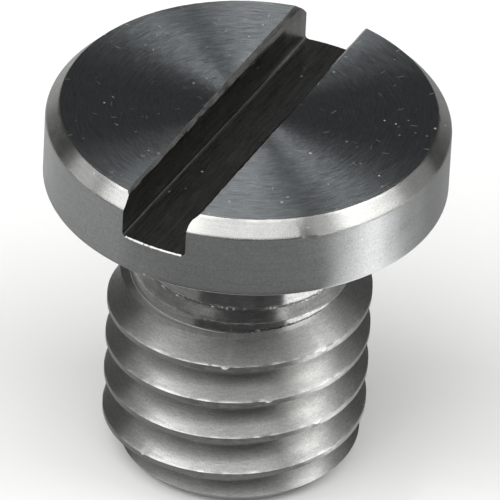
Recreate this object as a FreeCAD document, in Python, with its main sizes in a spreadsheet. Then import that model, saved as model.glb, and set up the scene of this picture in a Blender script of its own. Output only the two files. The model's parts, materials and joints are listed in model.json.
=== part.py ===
import FreeCAD, Part
import Sketcher
import os

# Slotted tripod adapter screw, turned from one steel bar and threaded 3/8 inch, 16 turns to the inch.
# Lengths are millimetres and angles are degrees. The origin is the centre of the flat thread end,
# +Z runs up the screw's axis to the slotted face, and the slot runs along Y.

doc = FreeCAD.newDocument("AdapterScrew")

# Driving dimensions
SIZES = [
    ("head_diameter", "14.5"),
    ("head_height", "3"),
    ("head_chamfer_width", "0.5"),
    ("head_chamfer_height", "0.55"),
    ("head_edge_break", "0.1"),
    ("slot_width", "2.5"),
    ("slot_depth", "1.6"),
    ("slot_rim_break", "0.2"),
    ("slot_floor_radius", "0.15"),
    ("shank_length", "11.5"),
    ("undercut_diameter", "7.5"),
    ("undercut_length", "3.1"),
    ("undercut_fillet", "0.25"),
    ("ramp_height", "0.45"),
    ("land_diameter", "8"),
    ("land_height", "0.45"),
    ("shoulder_height", "0.45"),
    ("thread_diameter", "9.525"),
    ("thread_pitch", "1.5875"),
    ("thread_angle", "60"),
    ("crest_flat", "0.198"),
    ("root_flat", "0.265"),
    ("thread_start_depth", "1.98"),
    ("tool_overrun", "0.05"),
    ("end_diameter", "7.7"),
    ("end_chamfer_height", "0.9"),
]

sheet = doc.addObject("Spreadsheet::Sheet", "Sizes")
for row, (alias, value) in enumerate(SIZES, start=1):
    sheet.set("A%d" % row, alias)
    sheet.set("B%d" % row, value)
    sheet.setAlias("B%d" % row, alias)
doc.recompute()

# A sketch's own origin and axes, as its constraints name them
ORIGIN_POINT = (-1, 1)
LINE_ACROSS = -1
LINE_UP = -2
START = 1
END = 2

# A point this near to a place is at it
TOUCHING = 1e-6
FULL_TURN = 360


def size(expression):
    """Value of an expression in the sheet's names."""
    return float(sheet.evalExpression(expression))


def section_sketch(body, name):
    """Sketch on the body's XZ plane: across is X, up is the screw's axis."""
    sketch = body.newObject("Sketcher::SketchObject", name)
    for feature in body.Origin.OriginFeatures:
        if feature.Role == "XZ_Plane":
            sketch.AttachmentSupport = [(feature, "")]
    sketch.MapMode = "FlatFace"
    return sketch


def dimension(sketch, kind, corner, expression):
    """Bind a corner's distance from the sketch's origin to an expression of either sign."""
    if size(expression) >= 0:
        ends = ORIGIN_POINT + (corner, START)
        bound = expression
    else:
        ends = (corner, START) + ORIGIN_POINT
        bound = "-(%s)" % expression
    number = sketch.addConstraint(Sketcher.Constraint(kind, *ends, size(bound)))
    sketch.setExpression("Constraints[%d]" % number, bound)


def closed_outline(sketch, corners):
    """Straight-sided outline, each corner an (across, up) pair of expressions. None is on an axis."""
    places = []
    for across, up in corners:
        places.append(FreeCAD.Vector(size(across or "0"), size(up or "0"), 0))
    for corner, place in enumerate(places):
        following = places[(corner + 1) % len(places)]
        sketch.addGeometry(Part.LineSegment(place, following), False)
    for corner, (across, up) in enumerate(corners):
        previous = (corner - 1) % len(corners)
        sketch.addConstraint(Sketcher.Constraint("Coincident", previous, END, corner, START))
        if across is None:
            sketch.addConstraint(Sketcher.Constraint("PointOnObject", corner, START, LINE_UP))
        else:
            dimension(sketch, "DistanceX", corner, across)
        if up is None:
            sketch.addConstraint(Sketcher.Constraint("PointOnObject", corner, START, LINE_ACROSS))
        else:
            dimension(sketch, "DistanceY", corner, up)
    doc.recompute()


def edges_where(feature, wanted):
    """Names of the feature's edges whose end points all pass the test."""
    names = []
    for number, edge in enumerate(feature.Shape.Edges, start=1):
        if all(wanted(vertex.Point, edge) for vertex in edge.Vertexes):
            names.append("Edge%d" % number)
    return names


screw = doc.addObject("PartDesign::Body", "AdapterScrewBody")
screw.Label = "adapter_screw"

# Turned blank: half section from the end face, up the thread's major diameter, over the
# shoulder, land, ramp and undercut of the neck, and round the chamfered head
NECK_TOP = "Sizes.shank_length"
RAMP_TOP = NECK_TOP + " - Sizes.undercut_length"
LAND_TOP = RAMP_TOP + " - Sizes.ramp_height"
SHOULDER_TOP = LAND_TOP + " - Sizes.land_height"
THREAD_TOP = SHOULDER_TOP + " - Sizes.shoulder_height"
FACE = "Sizes.shank_length + Sizes.head_height"
HEAD_RADIUS = "Sizes.head_diameter / 2"
THREAD_RADIUS = "Sizes.thread_diameter / 2"

blank_section = section_sketch(screw, "BlankSection")
closed_outline(
    blank_section,
    [
        (None, None),
        ("Sizes.end_diameter / 2", None),
        (THREAD_RADIUS, "Sizes.end_chamfer_height"),
        (THREAD_RADIUS, THREAD_TOP),
        ("Sizes.land_diameter / 2", SHOULDER_TOP),
        ("Sizes.land_diameter / 2", LAND_TOP),
        ("Sizes.undercut_diameter / 2", RAMP_TOP),
        ("Sizes.undercut_diameter / 2", NECK_TOP),
        (HEAD_RADIUS + " - Sizes.head_edge_break", NECK_TOP),
        (HEAD_RADIUS, NECK_TOP + " + Sizes.head_edge_break"),
        (HEAD_RADIUS, FACE + " - Sizes.head_chamfer_height"),
        (HEAD_RADIUS + " - Sizes.head_chamfer_width", FACE),
        (None, FACE),
    ],
)
blank = screw.newObject("PartDesign::Revolution", "TurnedBlank")
blank.Profile = blank_section
blank.ReferenceAxis = (blank_section, ["V_Axis"])
blank.Angle = FULL_TURN
doc.recompute()

# Tool-nose fillet where the undercut meets the head's underside
neck_radius = size("Sizes.undercut_diameter / 2")
neck_top = size(NECK_TOP)
undercut_fillet = screw.newObject("PartDesign::Fillet", "UndercutFillet")
undercut_fillet.Base = (
    blank,
    edges_where(
        blank,
        lambda point, edge: abs(point.z - neck_top) < TOUCHING
        and abs(point.x**2 + point.y**2 - neck_radius**2) < TOUCHING,
    ),
)
undercut_fillet.setExpression("Radius", "Sizes.undercut_fillet")
doc.recompute()

# Driver slot sawn straight across the face, with its two rims broken
slot_section = section_sketch(screw, "SlotSection")
HALF_SLOT = "Sizes.slot_width / 2"
HALF_MOUTH = HALF_SLOT + " + Sizes.slot_rim_break"
SLOT_FLOOR = FACE + " - Sizes.slot_depth"
RIM_FOOT = FACE + " - Sizes.slot_rim_break"
ABOVE_FACE = FACE + " + Sizes.tool_overrun"
closed_outline(
    slot_section,
    [
        ("-(%s)" % HALF_SLOT, SLOT_FLOOR),
        (HALF_SLOT, SLOT_FLOOR),
        (HALF_SLOT, RIM_FOOT),
        (HALF_MOUTH, FACE),
        (HALF_MOUTH, ABOVE_FACE),
        ("-(%s)" % HALF_MOUTH, ABOVE_FACE),
        ("-(%s)" % HALF_MOUTH, FACE),
        ("-(%s)" % HALF_SLOT, RIM_FOOT),
    ],
)
slot = screw.newObject("PartDesign::Pocket", "DriverSlot")
slot.Profile = slot_section
slot.Midplane = True
slot.Type = "ThroughAll"
doc.recompute()

# Small radius along both sides of the slot's floor
half_slot = size(HALF_SLOT)
slot_floor = size(SLOT_FLOOR)
floor_fillet = screw.newObject("PartDesign::Fillet", "SlotFloorFillet")
floor_fillet.Base = (
    slot,
    edges_where(
        slot,
        lambda point, edge: edge.Curve.TypeId == "Part::GeomLine"
        and abs(point.z - slot_floor) < TOUCHING
        and abs(abs(point.x) - half_slot) < TOUCHING,
    ),
)
floor_fillet.setExpression("Radius", "Sizes.slot_floor_radius")
doc.recompute()

# Right-hand thread: a groove with a flat root, swept up a helix from below the end face until
# it runs out into the undercut
HALF_ANGLE = "Sizes.thread_angle * 1 deg / 2"
GROOVE_DEPTH = "(Sizes.thread_pitch - Sizes.crest_flat - Sizes.root_flat) / (2 * tan(%s))" % HALF_ANGLE
ROOT_RADIUS = THREAD_RADIUS + " - " + GROOVE_DEPTH
MOUTH_RADIUS = THREAD_RADIUS + " + Sizes.tool_overrun"
HALF_ROOT = "Sizes.root_flat / 2"
HALF_GROOVE = "(Sizes.thread_pitch - Sizes.crest_flat) / 2 + Sizes.tool_overrun * tan(%s)" % HALF_ANGLE
GROOVE_START = "-Sizes.thread_start_depth"
groove_section = section_sketch(screw, "GrooveSection")
closed_outline(
    groove_section,
    [
        (ROOT_RADIUS, "%s - %s" % (GROOVE_START, HALF_ROOT)),
        (MOUTH_RADIUS, "%s - (%s)" % (GROOVE_START, HALF_GROOVE)),
        (MOUTH_RADIUS, "%s + %s" % (GROOVE_START, HALF_GROOVE)),
        (ROOT_RADIUS, "%s + %s" % (GROOVE_START, HALF_ROOT)),
    ],
)
groove = screw.newObject("PartDesign::SubtractiveHelix", "ThreadGroove")
groove.Profile = groove_section
groove.ReferenceAxis = (groove_section, ["V_Axis"])
groove.Mode = "pitch-height-angle"
groove.setExpression("Pitch", "Sizes.thread_pitch")
groove.setExpression("Height", "Sizes.thread_start_depth + %s + Sizes.thread_pitch / 2" % RAMP_TOP)
groove.LeftHanded = False
groove.Reversed = False
screw.Tip = groove
doc.recompute()

# Each cut has to take material away, and every feature has to be sound
steps = [blank, undercut_fillet, slot, floor_fillet, groove]
for feature in doc.Objects:
    if "Invalid" in feature.State or "Error" in feature.State:
        raise RuntimeError("%s is not sound: %s" % (feature.Name, feature.State))
if not slot.Shape.Volume < undercut_fillet.Shape.Volume:
    raise RuntimeError("the slot cuts nothing")
if not groove.Shape.Volume < floor_fillet.Shape.Volume:
    raise RuntimeError("the thread groove cuts nothing")
if screw.Shape.isNull() or not screw.Shape.isValid():
    raise RuntimeError("the screw's solid is not valid")

os.makedirs("parts", exist_ok=True)
screw.Shape.exportStep("parts/%s.step" % screw.Label)
for step in steps:
    print(step.Name, "volume", round(step.Shape.Volume, 2))
box = screw.Shape.optimalBoundingBox()
print("box", round(box.XLength, 3), round(box.YLength, 3), round(box.ZLength, 3), "from z", round(box.ZMin, 4))
print("solids", len(screw.Shape.Solids), "faces", len(screw.Shape.Faces))
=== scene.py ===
import json
import math
import bpy
from mathutils import Matrix, Vector

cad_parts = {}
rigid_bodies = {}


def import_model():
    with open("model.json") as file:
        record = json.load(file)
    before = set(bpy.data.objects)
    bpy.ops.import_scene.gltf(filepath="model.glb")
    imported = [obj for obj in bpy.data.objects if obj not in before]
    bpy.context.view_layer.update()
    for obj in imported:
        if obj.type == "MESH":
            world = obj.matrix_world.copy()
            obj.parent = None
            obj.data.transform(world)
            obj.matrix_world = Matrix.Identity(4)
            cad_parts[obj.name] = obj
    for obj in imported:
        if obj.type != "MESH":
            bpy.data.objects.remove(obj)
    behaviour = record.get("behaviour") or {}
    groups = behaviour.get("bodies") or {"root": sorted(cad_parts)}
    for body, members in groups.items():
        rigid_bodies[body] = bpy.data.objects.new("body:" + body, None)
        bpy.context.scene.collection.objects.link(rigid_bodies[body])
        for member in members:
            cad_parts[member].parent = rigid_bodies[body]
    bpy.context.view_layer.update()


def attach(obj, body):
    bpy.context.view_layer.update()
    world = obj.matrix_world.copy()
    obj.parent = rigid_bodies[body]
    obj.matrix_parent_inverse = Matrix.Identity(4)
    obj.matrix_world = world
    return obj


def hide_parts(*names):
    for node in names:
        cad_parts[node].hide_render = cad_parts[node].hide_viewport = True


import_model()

bpy.ops.object.select_all(action="DESELECT")


# Turned blank
# One length of stainless bar, turned in a lathe to the end chamfer, the thread's crests, the
# relieved neck and the flat head, whose face is then faced off. Everything later is cut from it.
MM = 0.001
MICRON = 0.001 * MM
HEAD_RADIUS = 7.25 * MM
FACE_RADIUS = 6.75 * MM
HEAD_BOTTOM = 11.5 * MM
CHAMFER_BOTTOM = 13.95 * MM
HEAD_FACE = 14.5 * MM
HEAD_EDGE_BREAK = 0.1 * MM
UNDERCUT_RADIUS = 3.75 * MM
RAMP_TOP = 8.4 * MM
LAND_RADIUS = 4.0 * MM
LAND_TOP = 7.95 * MM
SHOULDER_TOP = 7.5 * MM
THREAD_TOP = 7.05 * MM
CREST_RADIUS = 4.7625 * MM
END_RADIUS = 3.85 * MM
END_CHAMFER_TOP = 0.9 * MM
STEPS_ROUND = 256
SAME_PLACE = 0.0005 * MM
BURR_WIDTH = 0.09 * MM

# How far each turned corner is rounded
SOFT_CORNER = 0.03 * MM
END_CORNER = 0.04 * MM
UNDERCUT_FILLET = 0.25 * MM
SEAT_CORNER = 0.02 * MM
CHAMFER_CORNER = 0.06 * MM

# A rounded corner's arc, and how far off the points beside it stand: at least the reach, clear of
# the arc by the margin, and within a share of the straight run
ROUND_SEGMENTS = 4
HOLDING_REACH = 0.12 * MM
HOLDING_MARGIN = 1.3
HOLDING_SHARE = 0.4

# The tool's marks run round the axis, and a quarter turn stretches a highlight across them
ACROSS_MARKS = 0.25

# Bright specks and scratches, their lengths in millimetres as in the looks below. The specks are dust, except
# on the burrs, where they are painted glints.
SPECK_COLOUR = "#E4E3DF"
SPECK_DULLING = 0.6
SPECK_FADE = 4.0
SCRATCH_GAP = 1.8
SCRATCH_LENGTH = 0.3
SCRATCH_SLIMNESS = 8


def linear_colour(hex_colour):
    """Linear RGBA of an sRGB hex colour."""
    channels = []
    for first in (1, 3, 5):
        part = int(hex_colour[first:first + 2], 16) / 255
        channels.append(part / 12.92 if part <= 0.04045 else ((part + 0.055) / 1.055) ** 2.4)
    return (*channels, 1)


def add_node(tree, kind, settings=None, links=None):
    """Adds a node. Settings are its properties or sockets, links are its sockets' sources."""
    node = tree.nodes.new(kind)
    for name, value in (settings or {}).items():
        if isinstance(name, int) or name in node.inputs:
            node.inputs[name].default_value = value
        else:
            setattr(node, name, value)
    for name, source in (links or {}).items():
        tree.links.new(source, node.inputs[name])
    return node


def machined_steel(name, look):
    """Bare steel with the tool's marks, a fine grain, cloudy handling marks and bright specks.

    The look holds its colour, how rough it is, how far the marks stretch its highlights, where
    the marks run (rings by "radius" or by "height", or along the "slot") and each pattern's size
    in millimetres, its depth in microns and its share of the shade. It may also say how fast the
    specks fade, and on which headings the scratches lie. The specks are dust, but set close and
    unfaded, as on the burrs, they are painted glints.
    """
    material = bpy.data.materials.new(name)
    material.use_nodes = True
    tree = material.node_tree
    tree.nodes.clear()
    place = add_node(tree, "ShaderNodeTexCoord").outputs["Object"]
    in_mm = add_node(
        tree, "ShaderNodeVectorMath", {"operation": "SCALE", "Scale": 1 / MM}, {0: place}
    ).outputs["Vector"]
    if look["marks_run"] == "slot":
        streak = (1 / look["feed"], 1 / look["mark_length"], 1 / look["feed"])
        marks_place = add_node(
            tree, "ShaderNodeVectorMath", {"operation": "MULTIPLY", 1: streak}, {0: in_mm}
        )
    else:
        flat = add_node(
            tree, "ShaderNodeVectorMath", {"operation": "MULTIPLY", 1: (1, 1, 0)}, {0: in_mm}
        ).outputs["Vector"]
        if look["marks_run"] == "radius":
            radius = add_node(tree, "ShaderNodeVectorMath", {"operation": "LENGTH"}, {0: flat})
            across = radius.outputs["Value"]
        else:
            across = add_node(tree, "ShaderNodeSeparateXYZ", None, {0: in_mm}).outputs["Z"]
        bearing = add_node(tree, "ShaderNodeVectorMath", {"operation": "NORMALIZE"}, {0: flat})
        turn = add_node(
            tree,
            "ShaderNodeVectorMath",
            {"operation": "SCALE", "Scale": CREST_RADIUS / MM / look["mark_length"]},
            {0: bearing.outputs["Vector"]},
        )
        feeds = add_node(tree, "ShaderNodeMath", {"operation": "DIVIDE", 1: look["feed"]}, {0: across})
        rise = add_node(tree, "ShaderNodeCombineXYZ", None, {"Z": feeds.outputs["Value"]})
        marks_place = add_node(
            tree,
            "ShaderNodeVectorMath",
            {"operation": "ADD"},
            {0: turn.outputs["Vector"], 1: rise.outputs["Vector"]},
        )
    patterns = {
        "mark": add_node(
            tree,
            "ShaderNodeTexNoise",
            {"Scale": 1.0, "Detail": 2.0, "Roughness": 0.6},
            {"Vector": marks_place.outputs["Vector"]},
        ),
        "grain": add_node(
            tree, "ShaderNodeTexNoise", {"Scale": 1 / look["grain_size"], "Detail": 1.0}, {"Vector": in_mm}
        ),
        "cloud": add_node(
            tree, "ShaderNodeTexNoise", {"Scale": 1 / look["cloud_size"], "Detail": 3.0}, {"Vector": in_mm}
        ),
    }

    def weighed(kind, start):
        """Start, plus each pattern's swing about its middle times its weight of this kind."""
        total = None
        offset = start
        for pattern_name, pattern in patterns.items():
            weight = look.get(pattern_name + kind, 0)
            if weight:
                offset -= weight
                links = {0: pattern.outputs["Fac"]}
                if total is not None:
                    links[2] = total
                swing = {"operation": "MULTIPLY_ADD", 1: 2 * weight, 2: 0.0}
                total = add_node(tree, "ShaderNodeMath", swing, links).outputs["Value"]
        level = add_node(tree, "ShaderNodeMath", {"operation": "ADD", 1: offset}, {0: total})
        return level.outputs["Value"]

    tone = add_node(
        tree,
        "ShaderNodeVectorMath",
        {"operation": "SCALE", 0: linear_colour(look["colour"])[:3]},
        {"Scale": weighed("_shade", 1.0)},
    )

    # A speck or a scratch is a Voronoi cell's middle, and the cell's own shade says how bright it is
    specks = add_node(tree, "ShaderNodeTexVoronoi", {"Scale": 1 / look["speck_gap"]}, {"Vector": in_mm})
    marks = [(specks, look["speck_size"] / look["speck_gap"])]
    for heading in look.get("scratch_headings", ()):
        laid = add_node(
            tree,
            "ShaderNodeMapping",
            {
                "vector_type": "TEXTURE",
                "Rotation": (0, 0, math.radians(heading)),
                "Scale": (SCRATCH_GAP, SCRATCH_GAP / SCRATCH_SLIMNESS, SCRATCH_GAP),
            },
            {"Vector": in_mm},
        )
        scratches = add_node(
            tree, "ShaderNodeTexVoronoi", {"Scale": 1.0}, {"Vector": laid.outputs["Vector"]}
        )
        marks.append((scratches, SCRATCH_LENGTH / SCRATCH_GAP / 2))
    bright = None
    for cells, reach in marks:
        near = add_node(
            tree, "ShaderNodeMath", {"operation": "LESS_THAN", 1: reach}, {0: cells.outputs["Distance"]}
        )
        fade = {"operation": "POWER", 1: look.get("speck_fade", SPECK_FADE)}
        shade = add_node(tree, "ShaderNodeMath", fade, {0: cells.outputs["Color"]})
        links = {0: near.outputs["Value"], 1: shade.outputs["Value"]}
        if bright is not None:
            links[2] = bright
        shown = add_node(tree, "ShaderNodeMath", {"operation": "MULTIPLY_ADD", 2: 0.0}, links)
        bright = shown.outputs["Value"]
    speck = add_node(tree, "ShaderNodeMath", {"operation": "MINIMUM", 1: 1.0}, {0: bright})
    colour = add_node(
        tree,
        "ShaderNodeMix",
        {"data_type": "RGBA", 7: linear_colour(SPECK_COLOUR)},
        {0: speck.outputs["Value"], 6: tone.outputs["Vector"]},
    )
    bare = add_node(
        tree,
        "ShaderNodeMath",
        {"operation": "MULTIPLY_ADD", 1: -SPECK_DULLING, 2: 1.0},
        {0: speck.outputs["Value"]},
    )
    bump = add_node(
        tree,
        "ShaderNodeBump",
        {"Strength": 1.0, "Distance": MICRON},
        {"Height": weighed("_depth", 0.0)},
    )
    around = add_node(tree, "ShaderNodeTangent", {"direction_type": "RADIAL", "axis": "Z"})
    surface = add_node(
        tree,
        "ShaderNodeBsdfPrincipled",
        {"Anisotropic": look["stretch"], "Anisotropic Rotation": ACROSS_MARKS},
        {
            "Base Color": colour.outputs[2],
            "Metallic": bare.outputs["Value"],
            "Roughness": weighed("_rough", look["roughness"]),
            "Normal": bump.outputs["Normal"],
            "Tangent": around.outputs["Tangent"],
        },
    )
    add_node(tree, "ShaderNodeOutputMaterial", None, {"Surface": surface.outputs["BSDF"]})
    return material


def traced_outline(name, corners, closed=False):
    """Outline drawn in the XZ plane by pulling a point from corner to corner.

    Each corner is (across, height, rounding), and a rounding above nothing becomes an arc. A point
    to each side of the arc holds the flats beside it flat, and keeps a later nick there small.
    """
    route = []
    for number, (across, height, rounding) in enumerate(corners):
        here = Vector((across, 0, height))
        sides = []
        for neighbour in (corners[number - 1], corners[(number + 1) % len(corners)]):
            run = Vector((neighbour[0], 0, neighbour[1])) - here
            reach = min(max(HOLDING_REACH, HOLDING_MARGIN * rounding), HOLDING_SHARE * run.length)
            sides.append(here + reach * run.normalized())
        route += [sides[0], here, sides[1]] if rounding > 0 else [here]
    bpy.ops.mesh.primitive_plane_add(size=MM)
    outline = bpy.context.object
    outline.name = name
    bpy.ops.object.mode_set(mode="EDIT")
    bpy.ops.mesh.merge(type="CENTER")
    bpy.ops.transform.translate(value=route[0])
    for place, following in zip(route, route[1:]):
        bpy.ops.mesh.extrude_region_move(TRANSFORM_OT_translate={"value": following - place})
    bpy.ops.object.mode_set(mode="OBJECT")
    if closed:
        select_vertices(outline, lambda at: min((at - route[0]).length, (at - route[-1]).length) < SAME_PLACE)
        bpy.ops.object.mode_set(mode="EDIT")
        bpy.ops.mesh.edge_face_add()
        bpy.ops.object.mode_set(mode="OBJECT")
    for across, height, rounding in corners:
        if rounding > 0:
            select_vertices(outline, lambda at: (at - Vector((across, 0, height))).length < SAME_PLACE)
            bpy.ops.object.mode_set(mode="EDIT")
            bpy.ops.mesh.bevel(offset=rounding, segments=ROUND_SEGMENTS, affect="VERTICES")
            bpy.ops.object.mode_set(mode="OBJECT")
    return outline


def select_vertices(piece, wanted):
    """Selects the vertices whose places pass the test."""
    bpy.ops.object.mode_set(mode="EDIT")
    bpy.ops.mesh.select_mode(type="VERT")
    bpy.ops.mesh.select_all(action="DESELECT")
    bpy.ops.object.mode_set(mode="OBJECT")
    for vertex in piece.data.vertices:
        vertex.select = bool(wanted(vertex.co))


def close_skin(piece):
    """Merges what lies together, fills open ends and turns the faces outwards."""
    bpy.ops.object.mode_set(mode="EDIT")
    bpy.ops.mesh.select_mode(type="VERT")
    bpy.ops.mesh.select_all(action="SELECT")
    bpy.ops.mesh.remove_doubles(threshold=SAME_PLACE)
    bpy.ops.mesh.select_all(action="DESELECT")
    bpy.ops.mesh.select_non_manifold()
    bpy.ops.mesh.fill_holes(sides=0)
    bpy.ops.mesh.select_all(action="SELECT")
    bpy.ops.mesh.normals_make_consistent(inside=False)
    bpy.ops.object.mode_set(mode="OBJECT")


def finish_zone(piece, material, wanted):
    """Gives a material to the faces whose middle, as (radius, height), passes the test."""
    if material.name not in piece.data.materials:
        piece.data.materials.append(material)
    index = piece.data.materials.find(material.name)
    for face in piece.data.polygons:
        if wanted(math.hypot(face.center.x, face.center.y), face.center.z):
            face.material_index = index


# Real feed marks lie a few hundredths of a millimetre apart, and grain, dust and scratches are
# finer. On every steel here they are drawn as coarse as they need to show in the render.

# Faced stainless steel: fine rings round the centre stretch each reflection into a fan of light,
# and the dark parts show dust and handling scratches.
faced_steel = machined_steel(
    "faced_stainless_steel",
    {
        "colour": "#929799",
        "roughness": 0.38,
        "stretch": 1.0,
        "marks_run": "radius",
        "feed": 0.055,
        "mark_length": 0.5,
        "mark_depth": 0.12,
        "mark_shade": 0.5,
        "mark_rough": 0.1,
        "grain_size": 0.05,
        "grain_depth": 0.15,
        "grain_shade": 0.35,
        "cloud_size": 1.6,
        "cloud_shade": 0.06,
        "cloud_rough": 0.02,
        "speck_gap": 0.45,
        "speck_size": 0.05,
        "scratch_headings": (20, 50, 75, 110, 150, 170),
    },
)
# Bright-turned stainless steel: the last light cut with a sharp tool, close to a mirror.
chamfer_steel = machined_steel(
    "bright_turned_chamfer_steel",
    {
        "colour": "#A8A8A6",
        "roughness": 0.25,
        "stretch": 0.9,
        "marks_run": "height",
        "feed": 0.07,
        "mark_length": 2.0,
        "mark_depth": 0.1,
        "mark_shade": 0.12,
        "grain_size": 0.08,
        "grain_depth": 0.15,
        "cloud_size": 0.5,
        "cloud_shade": 0.12,
        "cloud_rough": 0.1,
        "speck_gap": 0.5,
        "speck_size": 0.045,
        "grain_shade": 0.12,
    },
)
# Satin-turned stainless steel: an even, close feed that only softens what it reflects.
side_steel = machined_steel(
    "satin_turned_side_steel",
    {
        "colour": "#969797",
        "roughness": 0.3,
        "stretch": 0.3,
        "marks_run": "height",
        "feed": 0.08,
        "mark_length": 1.5,
        "mark_depth": 0.08,
        "mark_shade": 0.12,
        "grain_size": 0.075,
        "grain_depth": 0.25,
        "grain_shade": 0.27,
        "cloud_size": 1.1,
        "cloud_shade": 0.1,
        "cloud_rough": 0.1,
        "speck_gap": 0.8,
        "speck_size": 0.045,
    },
)
# Undercut with a form tool: polished by rubbing, with coarser rings where it chattered.
neck_steel = machined_steel(
    "bright_undercut_steel",
    {
        "colour": "#979796",
        "roughness": 0.23,
        "stretch": 0.5,
        "marks_run": "height",
        "feed": 0.12,
        "mark_length": 1.2,
        "mark_depth": 0.3,
        "mark_shade": 0.3,
        "grain_size": 0.08,
        "grain_depth": 0.15,
        "grain_shade": 0.25,
        "cloud_size": 0.5,
        "cloud_shade": 0.1,
        "cloud_rough": 0.05,
        "speck_gap": 0.6,
        "speck_size": 0.04,
    },
)
# Turned crests: what is left of the bar's skin between the thread's flanks, rubbed and grey.
crest_steel = machined_steel(
    "turned_crest_steel",
    {
        "colour": "#979795",
        "roughness": 0.35,
        "stretch": 0.5,
        "marks_run": "height",
        "feed": 0.06,
        "mark_length": 1.0,
        "mark_depth": 0.2,
        "mark_shade": 0.15,
        "grain_size": 0.06,
        "grain_depth": 0.25,
        "grain_shade": 0.2,
        "cloud_size": 0.6,
        "cloud_shade": 0.12,
        "cloud_rough": 0.06,
        "speck_gap": 0.5,
        "speck_size": 0.04,
    },
)
# Torn burrs: the raised, crumbled steel along a run-out. Its sparkle, a row of bright dots, is painted:
# close, unfaded specks in its colour stand in for the burrs' glints.
burr_steel_with_painted_glints = machined_steel(
    "torn_burr_steel_with_painted_glints",
    {
        "colour": "#70706E",
        "roughness": 0.4,
        "stretch": 0.0,
        "marks_run": "height",
        "feed": 0.06,
        "mark_length": 0.3,
        "mark_depth": 0.3,
        "mark_shade": 0.5,
        "grain_size": 0.05,
        "grain_depth": 0.4,
        "grain_shade": 0.4,
        "cloud_size": 1.2,
        "cloud_shade": 0.3,
        "cloud_rough": 0.05,
        # Close, unfaded specks: painted glints along the burrs
        "speck_gap": 0.115,
        "speck_size": 0.045,
        "speck_fade": 1.0,
    },
)

screw = traced_outline(
    "turned_screw",
    [
        (0, 0, 0),
        (END_RADIUS, 0, END_CORNER),
        (CREST_RADIUS, END_CHAMFER_TOP, SOFT_CORNER),
        (CREST_RADIUS, THREAD_TOP, SOFT_CORNER),
        (LAND_RADIUS, SHOULDER_TOP, SOFT_CORNER),
        (LAND_RADIUS, LAND_TOP, SOFT_CORNER),
        (UNDERCUT_RADIUS, RAMP_TOP, BURR_WIDTH / 2),
        (UNDERCUT_RADIUS, HEAD_BOTTOM, UNDERCUT_FILLET),
        (HEAD_RADIUS - HEAD_EDGE_BREAK, HEAD_BOTTOM, SEAT_CORNER),
        (HEAD_RADIUS, HEAD_BOTTOM + HEAD_EDGE_BREAK, SOFT_CORNER),
        (HEAD_RADIUS, CHAMFER_BOTTOM, CHAMFER_CORNER),
        (FACE_RADIUS, HEAD_FACE, SOFT_CORNER),
        (0, HEAD_FACE, 0),
    ],
)
bpy.ops.object.mode_set(mode="EDIT")
bpy.ops.mesh.select_all(action="SELECT")
bpy.ops.mesh.spin(steps=STEPS_ROUND, angle=2 * math.pi, axis=(0, 0, 1), center=(0, 0, 0))
bpy.ops.object.mode_set(mode="OBJECT")
close_skin(screw)
finish_zone(screw, side_steel, lambda radius, height: True)
finish_zone(screw, crest_steel, lambda radius, height: height < SHOULDER_TOP)
finish_zone(screw, neck_steel, lambda radius, height: SHOULDER_TOP < height < HEAD_BOTTOM - SAME_PLACE)
# The ramp's burr band, with its painted glints
finish_zone(screw, burr_steel_with_painted_glints, lambda radius, height: abs(height - RAMP_TOP) < BURR_WIDTH / 2)
finish_zone(screw, chamfer_steel, lambda radius, height: height > CHAMFER_BOTTOM)
finish_zone(screw, faced_steel, lambda radius, height: height > HEAD_FACE - SAME_PLACE)


# Thread
# A right-hand 3/8 inch thread, 16 turns to the inch, cut by a single-point tool that enters
# at the end face and runs out into the undercut. The groove is the tool's path, taken away.
THREAD_PITCH = 1.5875 * MM
CREST_FLAT = 0.198 * MM
ROOT_FLAT = 0.265 * MM
FLANK_ANGLE = math.radians(30)
GROOVE_DEPTH = (THREAD_PITCH - CREST_FLAT - ROOT_FLAT) / 2 / math.tan(FLANK_ANGLE)
ROOT_RADIUS = CREST_RADIUS - GROOVE_DEPTH
GROOVE_START = -1.98 * MM
GROOVE_TURNS = 7
CREST_ROUNDING = 0.01 * MM

# How far the cutting tool stands over the crests, beside the groove's mouth and outwards
CLEAR_OF_CREST = 0.003 * MM
TOOL_SHOULDER = 0.07 * MM
TOOL_REACH = 0.6 * MM

# A place off the axis, so that hardly any two vertices lie equally far from it
SORTING_PLACE = (3.1 * MM, -9.3 * MM, 5.7 * MM)


def settle_order():
    """Sorts the active piece's vertices, edges and faces by their distance from the sorting place.

    A cut leaves them in another order each run. Sorted, the seeded tears fall on the same ones.
    """
    bpy.context.scene.cursor.location = SORTING_PLACE
    bpy.ops.object.mode_set(mode="EDIT")
    bpy.ops.mesh.select_mode(type="VERT")
    bpy.ops.mesh.select_all(action="SELECT")
    bpy.ops.mesh.sort_elements(type="CURSOR_DISTANCE", elements={"VERT", "EDGE", "FACE"})
    bpy.ops.object.mode_set(mode="OBJECT")
    bpy.context.scene.cursor.location = (0, 0, 0)


def cut_away(piece, cutter):
    """Takes the cutter's shape out of the piece, and its finish with it."""
    bpy.ops.object.select_all(action="DESELECT")
    bpy.context.view_layer.objects.active = piece
    piece.select_set(True)
    cut = piece.modifiers.new("cut", "BOOLEAN")
    cut.operation = "DIFFERENCE"
    cut.solver = "EXACT"
    cut.material_mode = "TRANSFER"
    cut.object = cutter
    bpy.ops.object.modifier_apply(modifier=cut.name)
    bpy.data.objects.remove(cutter)
    settle_order()
    close_skin(piece)


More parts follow.
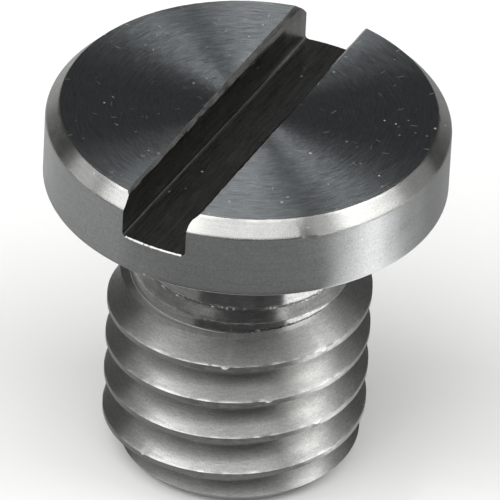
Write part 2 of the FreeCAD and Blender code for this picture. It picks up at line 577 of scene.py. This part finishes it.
# Cut thread flanks: a satin, sandy grain, a little warmer in colour than the head. Its colour is also lighter
# than the other steels: painted light, brightening the flanks as more light on them would.
flank_steel = machined_steel(
    "cut_thread_steel",
    {
        # Lighter than the other steels: painted light on the flanks
        "colour": "#B4B4B2",
        "roughness": 0.33,
        "stretch": 0.75,
        "marks_run": "radius",
        "feed": 0.045,
        "mark_length": 0.35,
        "mark_depth": 0.2,
        "mark_shade": 0.3,
        "grain_size": 0.05,
        "grain_depth": 0.45,
        "grain_shade": 0.35,
        "cloud_size": 0.8,
        "cloud_shade": 0.05,
        "cloud_rough": 0.03,
        "speck_gap": 0.7,
        "speck_size": 0.04,
    },
)

half_mouth = (THREAD_PITCH - CREST_FLAT) / 2
half_root = ROOT_FLAT / 2
over_crest = CREST_RADIUS + CLEAR_OF_CREST
groove = traced_outline(
    "thread_groove",
    [
        (ROOT_RADIUS, GROOVE_START - half_root, 0),
        (over_crest, GROOVE_START - half_mouth, CREST_ROUNDING),
        (over_crest, GROOVE_START - half_mouth - TOOL_SHOULDER, 0),
        (over_crest + TOOL_REACH, GROOVE_START - half_mouth - TOOL_SHOULDER, 0),
        (over_crest + TOOL_REACH, GROOVE_START + half_mouth + TOOL_SHOULDER, 0),
        (over_crest, GROOVE_START + half_mouth + TOOL_SHOULDER, 0),
        (over_crest, GROOVE_START + half_mouth, CREST_ROUNDING),
        (ROOT_RADIUS, GROOVE_START + half_root, 0),
    ],
    closed=True,
)
turns = groove.modifiers.new("turns", "SCREW")
turns.axis = "Z"
turns.angle = 2 * math.pi
turns.screw_offset = THREAD_PITCH
turns.iterations = GROOVE_TURNS
turns.steps = STEPS_ROUND
turns.render_steps = STEPS_ROUND
bpy.ops.object.modifier_apply(modifier=turns.name)
close_skin(groove)
finish_zone(groove, flank_steel, lambda radius, height: True)
cut_away(screw, groove)


# Driver slot
# Sawn straight across the face with a slitting cutter, a little off centre and a little deeper
# at the back. Its two rims were broken by hand, unevenly from end to end.
SLOT_REACH = 7.5 * MM
SLOT_TOP = 15.2 * MM
SLOT_FOOT = 0.15 * MM
RIM_MARGIN = 0.1 * MM
RIM_CUTS = 60
RIM_DEPTH = 0.4 * MM
RIM_TEAR = 0.022 * MM
RIM_SEED = 7

# The slot's two walls, its floor's height and how wide each rim is broken, in millimetres
SLOT_FRONT = {"left": -1.36, "right": 1.145, "floor": 12.93, "left_rim": 0.11, "right_rim": 0.26}
SLOT_BACK = {"left": -1.25, "right": 1.255, "floor": 12.81, "left_rim": 0.22, "right_rim": 0.15}


def slot_end(name, ends, along):
    """Outline of the slot's cutter at one end of its travel."""
    left = ends["left"] * MM
    right = ends["right"] * MM
    left_rim = ends["left_rim"] * MM
    right_rim = ends["right_rim"] * MM
    outline = traced_outline(
        name,
        [
            (left, ends["floor"] * MM, SLOT_FOOT),
            (right, ends["floor"] * MM, SLOT_FOOT),
            (right, HEAD_FACE - right_rim, right_rim / 2),
            (right + right_rim + RIM_MARGIN, HEAD_FACE + RIM_MARGIN, 0),
            (right + right_rim + RIM_MARGIN, SLOT_TOP, 0),
            (left - left_rim - RIM_MARGIN, SLOT_TOP, 0),
            (left - left_rim - RIM_MARGIN, HEAD_FACE + RIM_MARGIN, 0),
            (left, HEAD_FACE - left_rim, left_rim / 2),
        ],
        closed=True,
    )
    bpy.ops.object.mode_set(mode="EDIT")
    bpy.ops.mesh.select_all(action="SELECT")
    bpy.ops.transform.translate(value=(0, along, 0))
    bpy.ops.object.mode_set(mode="OBJECT")
    return outline


# Sawn steel, darker than the head's other steels: streaks run along the slot.
slot_steel = machined_steel(
    "sawn_slot_steel",
    {
        "colour": "#7A7A78",
        "roughness": 0.28,
        "stretch": 0.0,
        "marks_run": "slot",
        "feed": 0.08,
        "mark_length": 1.6,
        "mark_depth": 0.3,
        "mark_shade": 0.4,
        "mark_rough": 0.1,
        "grain_size": 0.06,
        "grain_depth": 0.5,
        "grain_shade": 0.45,
        "cloud_size": 0.7,
        "cloud_shade": 0.3,
        "speck_gap": 0.55,
        "speck_size": 0.05,
    },
)

slot_back = slot_end("slot_back", SLOT_BACK, SLOT_REACH)
slot_cutter = slot_end("slot_cutter", SLOT_FRONT, -SLOT_REACH)
slot_back.select_set(True)
bpy.ops.object.join()
bpy.ops.object.mode_set(mode="EDIT")
bpy.ops.mesh.select_all(action="SELECT")
bpy.ops.mesh.bridge_edge_loops(number_cuts=RIM_CUTS)
bpy.ops.object.mode_set(mode="OBJECT")
close_skin(slot_cutter)
select_vertices(slot_cutter, lambda at: HEAD_FACE - RIM_DEPTH < at.z < SLOT_TOP - RIM_DEPTH)
bpy.ops.object.mode_set(mode="EDIT")
bpy.ops.transform.vertex_random(offset=RIM_TEAR, seed=RIM_SEED)
bpy.ops.object.mode_set(mode="OBJECT")
finish_zone(slot_cutter, slot_steel, lambda radius, height: True)
cut_away(screw, slot_cutter)

# At the front the saw turned the floor's outer edge over, into a thin bright lip. It is cut here
# as a narrow slope along that edge, between two bearings in degrees.
LIP_WIDTH = 0.045 * MM
LIP_CLEARANCE = 0.15 * MM
LIP_FIRST = -99.8
LIP_LAST = -82.0
LIP_STEPS = 36
LIP_TEAR = 0.02 * MM
LIP_SEED = 3

lip_height = SLOT_FRONT["floor"] * MM
lip_cutter = traced_outline(
    "lip_cutter",
    [
        (HEAD_RADIUS - LIP_WIDTH, lip_height, 0),
        (HEAD_RADIUS + LIP_CLEARANCE, lip_height - LIP_WIDTH - LIP_CLEARANCE, 0),
        (HEAD_RADIUS + LIP_CLEARANCE, lip_height + LIP_CLEARANCE, 0),
        (HEAD_RADIUS - LIP_WIDTH, lip_height + LIP_CLEARANCE, 0),
    ],
    closed=True,
)
bpy.ops.object.mode_set(mode="EDIT")
bpy.ops.mesh.select_all(action="SELECT")
bpy.ops.mesh.spin(
    steps=LIP_STEPS, angle=math.radians(LIP_LAST - LIP_FIRST), axis=(0, 0, 1), center=(0, 0, 0)
)
bpy.ops.object.mode_set(mode="OBJECT")
lip_cutter.rotation_euler.z = math.radians(LIP_LAST)
bpy.ops.object.transform_apply(location=False, rotation=True, scale=False)
close_skin(lip_cutter)
select_vertices(lip_cutter, lambda at: at.z < lip_height + SAME_PLACE)
bpy.ops.object.mode_set(mode="EDIT")
bpy.ops.transform.vertex_random(offset=LIP_TEAR, seed=LIP_SEED)
bpy.ops.object.mode_set(mode="OBJECT")
finish_zone(lip_cutter, chamfer_steel, lambda radius, height: True)
cut_away(screw, lip_cutter)


# Burrs and nicks
# Where the groove breaks out into the neck, and along the top of the neck's ramp, the tool left
# small torn burrs. Handling has dented the crests and the head's edge. All are pulled from the
# same skin.
TORN_WIDTH = 0.11 * MM
TORN_TEAR = 0.03 * MM
TORN_SEED = 1
NICK_REACH = 0.11 * MM

# Faces that meet at less than this angle are shaded as one
SMOOTH_BELOW = math.radians(30)

# The edges that are a little ragged, each between two radii and two heights, in millimetres
RAGGED_EDGES = (
    {"radius": (3.74, 3.78), "height": (8.355, 8.45), "tear": 0.02},
    {"radius": (3.98, 4.01), "height": (7.915, 7.985), "tear": 0.008},
    {"radius": (4.745, 4.77), "height": (0.95, 7.0), "tear": 0.003},
    {"radius": (6.7, 6.79), "height": (14.46, 14.51), "tear": 0.006},
)

# Nicks by their bearing in degrees, their place in millimetres, and how far they stand out
NICKS = (
    {"bearing": -69.2, "radius": 4.76, "height": 6.6, "rise": 0.06},
    {"bearing": -102.8, "radius": 4.76, "height": 6.64, "rise": -0.04},
    {"bearing": -24.2, "radius": 4.76, "height": 6.69, "rise": 0.05},
    {"bearing": -73.9, "radius": 4.76, "height": 4.81, "rise": 0.06},
    {"bearing": -49.4, "radius": 4.76, "height": 5.08, "rise": 0.05},
    {"bearing": -26.4, "radius": 4.76, "height": 3.61, "rise": 0.05},
    {"bearing": -78.5, "radius": 4.76, "height": 1.55, "rise": 0.07},
    {"bearing": -71.8, "radius": 4.76, "height": 1.48, "rise": -0.08},
    {"bearing": -106.7, "radius": 4.76, "height": 1.73, "rise": 0.05},
    {"bearing": -46.0, "radius": 7.25, "height": 13.95, "rise": -0.02},
)


def select_ring(piece, ring):
    """Selects the vertices between a ring's two radii and its two heights."""
    inner, outer = (limit * MM for limit in ring["radius"])
    lower, upper = (limit * MM for limit in ring["height"])
    select_vertices(piece, lambda at: inner < at.to_2d().length < outer and lower < at.z < upper)


def select_seam(piece, first, second):
    """Selects the vertices where faces of one finish meet faces of another."""
    touched = {first.name: set(), second.name: set()}
    for face in piece.data.polygons:
        finish = piece.data.materials[face.material_index].name
        if finish in touched:
            touched[finish].update(face.vertices)
    seam = touched[first.name] & touched[second.name]
    select_vertices(piece, lambda at: False)
    for index in seam:
        piece.data.vertices[index].select = True


def tear(seed, offset):
    """Shifts the inner ones of the selected vertices a little, each its own way."""
    bpy.ops.object.mode_set(mode="EDIT")
    bpy.ops.mesh.select_less()
    bpy.ops.transform.vertex_random(offset=offset, seed=seed)
    bpy.ops.object.mode_set(mode="OBJECT")


def bevel_selected(width, material):
    """Lays a narrow band of faces along the selected edges, and gives them this finish."""
    bpy.ops.object.mode_set(mode="EDIT")
    bpy.ops.mesh.bevel(offset=width, segments=ROUND_SEGMENTS, affect="EDGES")
    bpy.context.object.active_material_index = bpy.context.object.data.materials.find(material.name)
    bpy.ops.object.material_slot_assign()
    bpy.ops.object.mode_set(mode="OBJECT")


bpy.ops.object.select_all(action="DESELECT")
bpy.context.view_layer.objects.active = screw
screw.select_set(True)
# The torn seam takes the burr steel and its painted glints
select_seam(screw, flank_steel, neck_steel)
bevel_selected(TORN_WIDTH, burr_steel_with_painted_glints)
tear(TORN_SEED, TORN_TEAR)
for seed, edge in enumerate(RAGGED_EDGES, start=TORN_SEED + 1):
    select_ring(screw, edge)
    tear(seed, edge["tear"] * MM)
for nick in NICKS:
    bearing = math.radians(nick["bearing"])
    outward = Vector((math.cos(bearing), math.sin(bearing), 0))
    spot = nick["radius"] * MM * outward + Vector((0, 0, nick["height"] * MM))
    select_vertices(screw, lambda at: (at - spot).length < NICK_REACH)
    bpy.ops.object.mode_set(mode="EDIT")
    sunk = abs(nick["rise"]) * MM * Vector((0, 0, -1))
    bpy.ops.transform.translate(value=nick["rise"] * MM * outward + sunk)
    bpy.ops.object.mode_set(mode="OBJECT")

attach(screw, "root")
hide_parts("adapter_screw")
bpy.ops.object.shade_smooth_by_angle(angle=SMOOTH_BELOW)


# Camera
# The photograph's view: a long lens, 36 degrees above the horizon, a little rolled.
PICTURE_PIXELS = 500
SENSOR_WIDTH = 36
FOCAL_PIXELS = 11256.7
CAMERA_DISTANCE = 400 * MM
CLIP_RATIO = 20
CAMERA_AZIMUTH = math.radians(24.96)
CAMERA_ELEVATION = math.radians(35.845)
CAMERA_ROLL = math.radians(3.041)
AIM_RIGHT = 0.0226 * MM
AIM_UP = -5.0228 * MM

level_right = Vector((math.cos(CAMERA_AZIMUTH), math.sin(CAMERA_AZIMUTH), 0))
back = Vector(
    (
        math.sin(CAMERA_AZIMUTH) * math.cos(CAMERA_ELEVATION),
        -math.cos(CAMERA_AZIMUTH) * math.cos(CAMERA_ELEVATION),
        math.sin(CAMERA_ELEVATION),
    )
)
level_up = back.cross(level_right)
right = math.cos(CAMERA_ROLL) * level_right + math.sin(CAMERA_ROLL) * level_up
up = math.cos(CAMERA_ROLL) * level_up - math.sin(CAMERA_ROLL) * level_right
aim = Vector((0, 0, HEAD_FACE)) + AIM_RIGHT * right + AIM_UP * up
camera_data = bpy.data.cameras.new("camera")
camera_data.sensor_width = SENSOR_WIDTH
camera_data.lens = FOCAL_PIXELS * SENSOR_WIDTH / PICTURE_PIXELS
camera_data.clip_start = CAMERA_DISTANCE / CLIP_RATIO
camera_data.clip_end = CAMERA_DISTANCE * CLIP_RATIO
camera = bpy.data.objects.new("camera", camera_data)
bpy.context.scene.collection.objects.link(camera)
camera_stand = Matrix.Translation(aim + CAMERA_DISTANCE * back)
camera.matrix_world = camera_stand @ Matrix((right, up, back)).transposed().to_4x4()
bpy.context.scene.camera = camera


# Studio
# Pale paper in a photographer's tent. Panels lit from behind are its soft boxes. The grey and
# black cloths between them, and the sheets round the screw's foot, are there for reflections
# alone, and keep the bright steel as dark as it is in the photograph.
FLOOR_SIZE = 4.0
FLOOR_COLOUR = "#F2F2F1"
FLOOR_ROUGHNESS = 0.9
TENT_RADIUS = 0.75
CELL_DEGREES = 5
CARD_HEIGHT = 0.05 * MM
CARD_EDGE = 0.7
CARD_RINGS = (CARD_EDGE, 20 * MM, 12.5 * MM, 8 * MM, 4.2 * MM)
EVEN_SKY = 0.3
PALE_BACKDROP = 0.95

# How bright each cloth is, where 1 is white paper in the plain light
SOFT_BOXES = {"key_box": 3.0, "right_box": 3.6, "left_box": 3.0, "side_box": 1.3}
TENT_CLOTHS = {"pale_side": 0.8, "grey_side": 0.5, "dark_side": 0.25, "black_wall": 0.1}
FOOT_CLOTHS = {
    "white_sheet": 2.9,
    "bright_sheet": 1.5,
    "pale_sheet": 0.7,
    "grey_sheet": 0.45,
    "black_strip": 0.04,
}

# Where each cloth hangs in the tent: its azimuths and its elevations in degrees. The first one
# listed hangs in front of the later ones.
TENT_PANELS = (
    ("key_box", (-90, 40), (45, 90)),
    ("key_box", (-110, -90), (45, 75)),
    ("left_box", (-90, -25), (30, 45)),
    ("right_box", (60, 100), (30, 60)),
    ("side_box", (-180, 180), (75, 90)),
    ("side_box", (40, 60), (60, 75)),
    ("side_box", (40, 50), (0, 30)),
    ("side_box", (-25, -20), (30, 45)),
    ("side_box", (-110, -90), (15, 30)),
    ("grey_side", (-20, -15), (30, 45)),
    ("pale_side", (50, 100), (0, 30)),
    ("pale_side", (40, 60), (30, 60)),
    ("pale_side", (-110, -90), (30, 45)),
    ("grey_side", (100, 120), (0, 45)),
    ("grey_side", (-125, -110), (30, 45)),
    ("dark_side", (-115, -25), (0, 30)),
    ("dark_side", (60, 100), (60, 75)),
    ("black_wall", (-180, 180), (0, 90)),
)

# Where each sheet lies round the foot: its azimuths in degrees and its distances from the axis
FOOT_PANELS = (
    ("white_sheet", (60, 75), (8 * MM, CARD_EDGE)),
    ("white_sheet", (45, 90), (12.5 * MM, 20 * MM)),
    ("bright_sheet", (50, 85), (8 * MM, CARD_EDGE)),
    ("pale_sheet", (45, 105), (0, CARD_EDGE)),
    ("pale_sheet", (-180, -60), (20 * MM, CARD_EDGE)),
    ("black_strip", (-40, 45), (12.5 * MM, 20 * MM)),
    ("grey_sheet", (-180, 180), (0, CARD_EDGE)),
)


def bearing_of(place):
    """Azimuth and elevation of a place in degrees. Azimuth 0 is the camera's side, 90 its right."""
    toward_camera = Vector((math.sin(CAMERA_AZIMUTH), -math.cos(CAMERA_AZIMUTH), 0))
    azimuth = math.degrees(math.atan2(place.dot(level_right), place.dot(toward_camera)))
    return azimuth, math.degrees(math.asin(place.z / place.length))


def front_panel(panels, azimuth, reach):
    """Name of the first panel whose two ranges hold the azimuth, and the elevation or distance."""
    for name, azimuths, reaches in panels:
        if azimuths[0] < azimuth < azimuths[1] and reaches[0] < reach < reaches[1]:
            return name


def tent_panel(place):
    """What hangs in the tent at a place."""
    return front_panel(TENT_PANELS, *bearing_of(place))


def foot_cloth(place):
    """The sheet at the screw's foot at a place."""
    return front_panel(FOOT_PANELS, bearing_of(place)[0], place.length)


def cloth(name, brightness):
    """White or dark cloth, as bright as the light on it or behind it makes it."""
    material = bpy.data.materials.new(name)
    material.use_nodes = True
    tree = material.node_tree
    tree.nodes.clear()
    glow = add_node(tree, "ShaderNodeEmission", {"Strength": brightness})
    add_node(tree, "ShaderNodeOutputMaterial", None, {"Surface": glow.outputs["Emission"]})
    return material


def hang(card, name, cloths, choose, lights_all):
    """Keeps the card's cells that are of these cloths, and gives each its cloth."""
    card.name = name
    for cloth_name, brightness in cloths.items():
        card.data.materials.append(cloth(cloth_name, brightness))
    bpy.ops.object.mode_set(mode="EDIT")
    bpy.ops.mesh.select_mode(type="FACE")
    bpy.ops.mesh.select_all(action="DESELECT")
    bpy.ops.object.mode_set(mode="OBJECT")
    for cell in card.data.polygons:
        kind = choose(cell.center)
        cell.select = cell.center.z < 0 or kind not in cloths
        if not cell.select:
            cell.material_index = list(cloths).index(kind)
    bpy.ops.object.mode_set(mode="EDIT")
    bpy.ops.mesh.delete(type="FACE")
    bpy.ops.object.mode_set(mode="OBJECT")
    card.visible_camera = False
    if not lights_all:
        card.visible_diffuse = False
        card.visible_shadow = False
        for slot in card.material_slots:
            slot.material.cycles.emission_sampling = "NONE"


bpy.ops.mesh.primitive_plane_add(size=FLOOR_SIZE)
floor = bpy.context.object
floor.name = "studio_floor"
floor_paper = bpy.data.materials.new("pale_paper_sweep")
floor_paper.use_nodes = True
paper_surface = floor_paper.node_tree.nodes["Principled BSDF"]
paper_surface.inputs["Base Color"].default_value = linear_colour(FLOOR_COLOUR)
paper_surface.inputs["Roughness"].default_value = FLOOR_ROUGHNESS
floor.data.materials.append(floor_paper)

for part_name, part_cloths in {"soft_boxes": SOFT_BOXES, "tent_cloths": TENT_CLOTHS}.items():
    bpy.ops.mesh.primitive_uv_sphere_add(
        segments=360 // CELL_DEGREES, ring_count=180 // CELL_DEGREES, radius=TENT_RADIUS
    )
    hang(bpy.context.object, part_name, part_cloths, tent_panel, part_cloths is SOFT_BOXES)

bpy.ops.mesh.primitive_circle_add(
    vertices=360 // CELL_DEGREES, radius=CARD_RINGS[0], fill_type="NGON", location=(0, 0, CARD_HEIGHT)
)
foot_card = bpy.context.object
bpy.ops.object.mode_set(mode="EDIT")
for outer, inner in zip(CARD_RINGS, CARD_RINGS[1:]):
    bpy.ops.mesh.inset(thickness=outer - inner)
bpy.ops.mesh.delete(type="FACE")
bpy.ops.object.mode_set(mode="OBJECT")
hang(foot_card, "foot_card", FOOT_CLOTHS, foot_cloth, False)

world = bpy.data.worlds.new("studio")
bpy.context.scene.world = world
world.use_nodes = True
sky = world.node_tree
seen = add_node(sky, "ShaderNodeLightPath")
by_eye = add_node(
    sky,
    "ShaderNodeMath",
    {"operation": "MAXIMUM"},
    {0: seen.outputs["Is Camera Ray"], 1: seen.outputs["Is Glossy Ray"]},
)
by_eye_or_glass = add_node(
    sky,
    "ShaderNodeMath",
    {"operation": "MAXIMUM"},
    {0: by_eye.outputs["Value"], 1: seen.outputs["Is Transmission Ray"]},
)
brightness = add_node(
    sky,
    "ShaderNodeMath",
    {"operation": "MULTIPLY_ADD", 1: PALE_BACKDROP - EVEN_SKY, 2: EVEN_SKY},
    {0: by_eye_or_glass.outputs["Value"]},
)
sky.nodes["Background"].inputs["Color"].default_value = (1, 1, 1, 1)
sky.links.new(brightness.outputs["Value"], sky.nodes["Background"].inputs["Strength"])
bpy.context.scene.view_settings.view_transform = "Standard"
